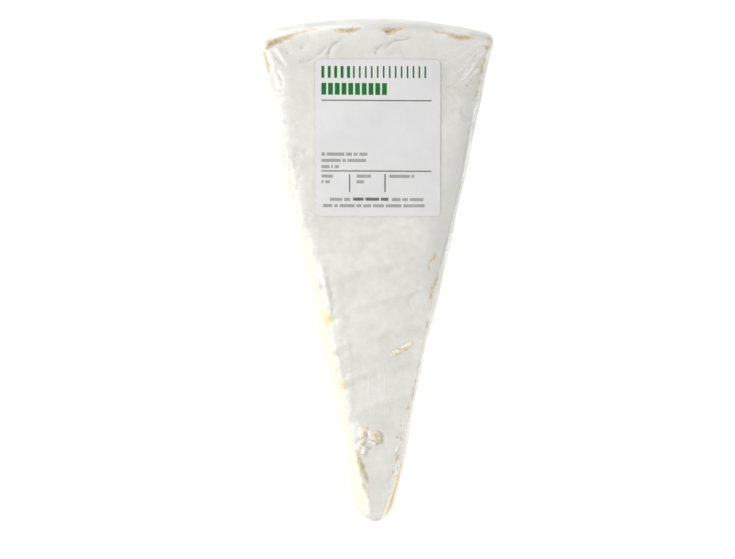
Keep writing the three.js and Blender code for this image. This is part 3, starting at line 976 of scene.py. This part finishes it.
def film_relief(points, place):
    """Height of the film's wrinkles over the top, and how milky each makes it, with the painted highlights
    along the right edge.
    """
    x, y = points[:, 0], points[:, 1]
    relief = 0.05 + 0.05 * noise_at(points, (7, 12, 7), 2, seed=23)
    milk = np.zeros(len(points))
    for fan in FANS:
        wrinkle = fan_wrinkles(x, y, fan)
        relief += wrinkle
        milk += 0.5 * wrinkle
    waver = 0.8 + 0.4 * noise_at(points, (5, 5, 5), 1, seed=25)
    for line, width, height, haze in FILM_CREASES:
        crease = waver * bell(distance_to_line(x, y, line), width)
        relief += height * crease
        # Along the right edge this milkiness is a painted highlight
        milk += haze * crease
    for line, widths, height, _ in CURLS:
        over_curl = bell(distance_to_line(x, y, line), 0.9 * max(widths) + 0.6)
        relief = np.maximum(relief, 1.1 * height * over_curl)
    pressed = under_label(x, y)
    return relief * (1 - pressed) - PRESS * pressed, milk * (1 - pressed) * place["top"]


def drawn_share(points):
    """Where the film is stretched into fine lengthwise lines."""
    x, y, z = points.T
    patch = bell(x - 0.5, 9) * bell(y + 39, 13)
    return np.clip(patch, 0, 1) * (z > HEIGHT - 6)


def film_bulge(points):
    """How far the film stands off the cut faces: a little all over, more where it bridges a hollow."""
    x, y, z = points.T
    bridge = bell(y - BRIDGE["y"], BRIDGE["length"]) * bell(z - BRIDGE["z"], BRIDGE["height"])
    bridge *= np.where(x < 0, BRIDGE["bulge"], 0)
    tension = 0.12 + 0.12 * noise_at(points, (9, 14, 3), 2, seed=24)
    return bridge + tension


def ear_share(points, place):
    """1 at the tip of an ear of folded film, fading to 0 round it."""
    x, _, z = points.T
    across = sum(bell(x - ear_x, 0.7 * width) for ear_x, width in EARS)
    return smoothstep(place["q"], 0.96, 1) * across * np.exp(-np.abs(z - EAR_LEVEL) / EAR_THICKNESS)


def make_film(material):
    points, quads, place = wedge_skin(0)
    push_out(points, place, face_waves(points) + film_bulge(points))
    relief, milk = film_relief(points, place)
    for side, kind in ((-1, LEFT_WRINKLES), (1, RIGHT_WRINKLES)):
        height, haze = edge_wrinkles(points, place, side, kind)
        relief += height
        points[:, 0] += side * (1 - place["top"]) * height
        milk += haze
    points[:, 2] += place["top"] * relief
    ears = ear_share(points, place)
    points[:, 1] += EAR_REACH * ears
    milk += 0.3 * ears
    points[:, 2] = np.maximum(points[:, 2], FILM_FLOOR)
    # This value holds the film's milkiness where it is folded, and the painted highlights along the right
    # edge
    values = {"folds_and_glints": np.clip(milk, 0, MOST_MILK), "drawn": drawn_share(points)}
    film = make_piece("clear_film", points, quads, [material], values)
    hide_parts("brie_wedge")


# Label

# Its corners, lift off the film, thickness, margin, and the largest cell of its mesh
LABEL_CORNER = 1.5
LABEL_LIFT = 0.02
PAPER_THICKNESS = 0.05
MARGIN = 1.9
LARGEST_CELL = 1.6


def row_of_blocks(left, top, height, widths, gap):
    blocks = []
    for width in widths:
        blocks.append((left, top, left + width, top + height))
        left += width + gap
    return blocks


# Print, as rectangles measured from the label's upper left corner: left, top, right, bottom
HEADER_BLOCKS = row_of_blocks(MARGIN, 2.2, 3.8, [0.95] * 5, 1.1)
HEADER_BLOCKS += row_of_blocks(12.0, 2.2, 3.8, [0.55] * 13, 1.35)
TITLE_BLOCKS = row_of_blocks(MARGIN, 7.6, 3.8, [1.55] * 10, 0.6)
RULES = [
    (MARGIN, 12.95, 37.1, 13.35),
    (MARGIN, 35.45, 37.1, 35.85),
    (10.7, 36.6, 11.1, 42.4),
    (22, 36.6, 22.45, 42.4),
]

# Small print as bars: left, top and the widths of a line's bars
TEXT_LINES = [
    (MARGIN, 29.8, [1.2, 5.6, 1.8, 1.3, 2.6]),
    (MARGIN, 31.8, [6.2, 1.0, 6.0]),
    (MARGIN, 33.8, [2.6, 0.6, 1.3]),
    (MARGIN, 36.8, [3.6]),
    (MARGIN, 38.6, [0.7, 1.4]),
    (13.1, 36.8, [4.6]),
    (13.1, 38.6, [2.4]),
    (23.6, 36.8, [6.6, 0.8]),
    (4.6, 44.2, [4, 2]),
    (24.4, 44.2, [2.8, 1.8, 4.4]),
    (2.4, 46.2, [3, 1.2, 4.8, 1.6, 2.6, 3.6, 5, 6.8]),
]
DARK_LINES = [(12.0, 44.1, [3.4, 4.4, 2.4])]
TEXT_HEIGHT = 1.0
TEXT_GAP = 0.55

# The label's paper, and its green, dark and grey inks: name, two tones, and roughness
LABEL_TONES = [
    ("label_paper", (216, 215, 215), (213, 212, 212), 0.5),
    ("green_ink", (12, 108, 38), (8, 100, 32), 0.45),
    ("dark_ink", (112, 112, 110), (104, 104, 102), 0.45),
    ("grey_ink", (160, 160, 158), (152, 152, 150), 0.5),
]


def bars(lines):
    rows = [row_of_blocks(left, top, TEXT_HEIGHT, widths, TEXT_GAP) for left, top, widths in lines]
    return [bar for row in rows for bar in row]


def label_print():
    """Pairs of a rectangle and the number of its ink in LABEL_TONES."""
    inks = {1: HEADER_BLOCKS + TITLE_BLOCKS, 2: RULES + bars(DARK_LINES), 3: bars(TEXT_LINES)}
    return [(block, number) for number, blocks in inks.items() for block in blocks]


def grid_lines(edges, size):
    """Lines at every edge of the print, with more between them where they lie far apart."""
    stops = np.unique(np.round([0, LABEL_CORNER, size - LABEL_CORNER, size, *edges], 3))
    cells = [math.ceil((b - a) / LARGEST_CELL) for a, b in zip(stops, stops[1:])]
    lines = [np.linspace(a, b, count, endpoint=False) for a, b, count in zip(stops, stops[1:], cells)]
    return np.append(np.concatenate(lines), size)


def label_ink(centres_x, centres_y):
    """The number of each cell's tone in LABEL_TONES, from the cells' centres."""
    ink = np.zeros((len(centres_x), len(centres_y)), int)
    for (left, top, right, bottom), number in label_print():
        inside_x = (centres_x > left) & (centres_x < right)
        inside_y = (centres_y > top) & (centres_y < bottom)
        ink[np.ix_(inside_x, inside_y)] = number
    return ink


def label_points(across, down):
    """Points of the label's upper and under sheet, which share their plan."""
    p, q = np.meshgrid(across / LABEL_WIDTH * 2 - 1, 1 - down / LABEL_LENGTH * 2, indexing="ij")
    p, q = round_corner(p, q, 2 * LABEL_CORNER / LABEL_WIDTH, 2 * LABEL_CORNER / LABEL_LENGTH)
    x = p * LABEL_WIDTH / 2
    y = LABEL_CENTRE_Y + q * LABEL_LENGTH / 2
    loose_edge = 0.01 * smoothstep(x, 15, 20) * (0.6 + 0.4 * np.sin(y / 5))
    under = HEIGHT - FOOT_SINK - PRESS + shared_relief(x, y) + LABEL_LIFT + loose_edge
    sheets = [np.stack([x, y, under + lift], axis=2) for lift in (PAPER_THICKNESS, 0)]
    return np.concatenate([sheet.reshape(-1, 3) for sheet in sheets])


def plate_faces(columns, rows):
    """Quads of a plate's upper sheet, and those of its underside and sides."""
    upper = np.arange(columns * rows).reshape(columns, rows)
    ring = [upper[:-1, :-1], upper[:-1, 1:], upper[1:, 1:], upper[1:, :-1]]
    top = np.stack(ring, axis=2).reshape(-1, 4)
    rim = np.concatenate([upper[:, 0], upper[-1, 1:], upper[-2::-1, -1], upper[0, -2:0:-1]])
    after = np.roll(rim, -1)
    sides = np.stack([rim, after, after + upper.size, rim + upper.size], axis=1)
    return top, np.concatenate([top[:, ::-1] + upper.size, sides])


def make_label(materials):
    blocks = [block for block, _ in label_print()]
    across = grid_lines([b[0] for b in blocks] + [b[2] for b in blocks], LABEL_WIDTH)
    down = grid_lines([b[1] for b in blocks] + [b[3] for b in blocks], LABEL_LENGTH)
    ink = label_ink((across[1:] + across[:-1]) / 2, (down[1:] + down[:-1]) / 2)
    top, others = plate_faces(len(across), len(down))
    tones = np.append(ink.ravel(), np.zeros(len(others), int))
    points, faces = label_points(across, down), np.concatenate([top, others])
    label = make_piece("paper_label", points, faces, materials, face_materials=tones)
    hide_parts("label")


# Stage, light and camera, with sizes and distances in metres

STAGE_SIZE = 6.0
FLOOR_GREY = linear((110, 110, 110))
FLOOR_GLOW = 1.0
ROOM_LIGHT = 0.45

# The camera leans towards the left face. Its focal length is in millimetres.
LOOK_AT = Vector((-2.3, -3.2, 12)) * MM
CAMERA_DISTANCE = 0.666
CAMERA_TILT = math.radians(4)
FOCAL_LENGTH = 100


def make_floor():
    """A pale table top that glows a little, so that shadows on it stay light."""
    bpy.ops.mesh.primitive_plane_add(size=STAGE_SIZE)
    floor = bpy.context.object
    floor.name = "floor"
    n = Nodes("floor")
    matt = n.add("ShaderNodeBsdfDiffuse", {"Color": FLOOR_GREY})
    glow = n.add("ShaderNodeEmission", {"Color": WHITE, "Strength": FLOOR_GLOW})
    both = n.add("ShaderNodeAddShader", {0: matt.outputs[0], 1: glow.outputs[0]})
    floor.data.materials.append(n.finish(both))


def softbox(name, azimuth, elevation, distance, size, power):
    """A square light that faces the wedge. Azimuth 0 is on the +X side, and 90 on the +Y side."""
    light = bpy.data.lights.new(name, "AREA")
    light.size = size
    light.energy = power
    lamp = new_object(name, light)
    turn, rise = math.radians(azimuth), math.radians(elevation)
    level = distance * math.cos(rise)
    lamp.location = (level * math.cos(turn), level * math.sin(turn), distance * math.sin(rise))
    lamp.rotation_euler = (-lamp.location).to_track_quat("-Z", "Y").to_euler()


def make_light():
    world = bpy.data.worlds.new("studio")
    world.use_nodes = True
    background = world.node_tree.nodes["Background"]
    background.inputs["Color"].default_value = WHITE
    background.inputs["Strength"].default_value = ROOM_LIGHT
    bpy.context.scene.world = world
    softbox("key", azimuth=184, elevation=47, distance=0.42, size=0.25, power=1.32)
    softbox("back", azimuth=105, elevation=6, distance=0.8, size=0.4, power=4.0)
    softbox("fill", azimuth=-12, elevation=7, distance=1.0, size=0.8, power=8.0)
    bpy.context.scene.view_settings.view_transform = "Standard"


def make_camera():
    """A camera above the wedge, with the rim at the top of its picture."""
    camera = new_object("camera", bpy.data.cameras.new("camera"))
    camera.data.lens = FOCAL_LENGTH
    camera.data.dof.use_dof = False
    back = Vector((-math.sin(CAMERA_TILT), 0, math.cos(CAMERA_TILT)))
    camera.location = LOOK_AT + back * CAMERA_DISTANCE
    across = Vector((math.cos(CAMERA_TILT), 0, math.sin(CAMERA_TILT)))
    camera.rotation_euler = Matrix((across, back.cross(across), back)).transposed().to_euler()
    bpy.context.scene.camera = camera


make_cheese(cheese_material())
make_curls(torn_material())
make_film(film_material())
make_label([printed_material(*tones) for tones in LABEL_TONES])
make_floor()
make_light()
make_camera()
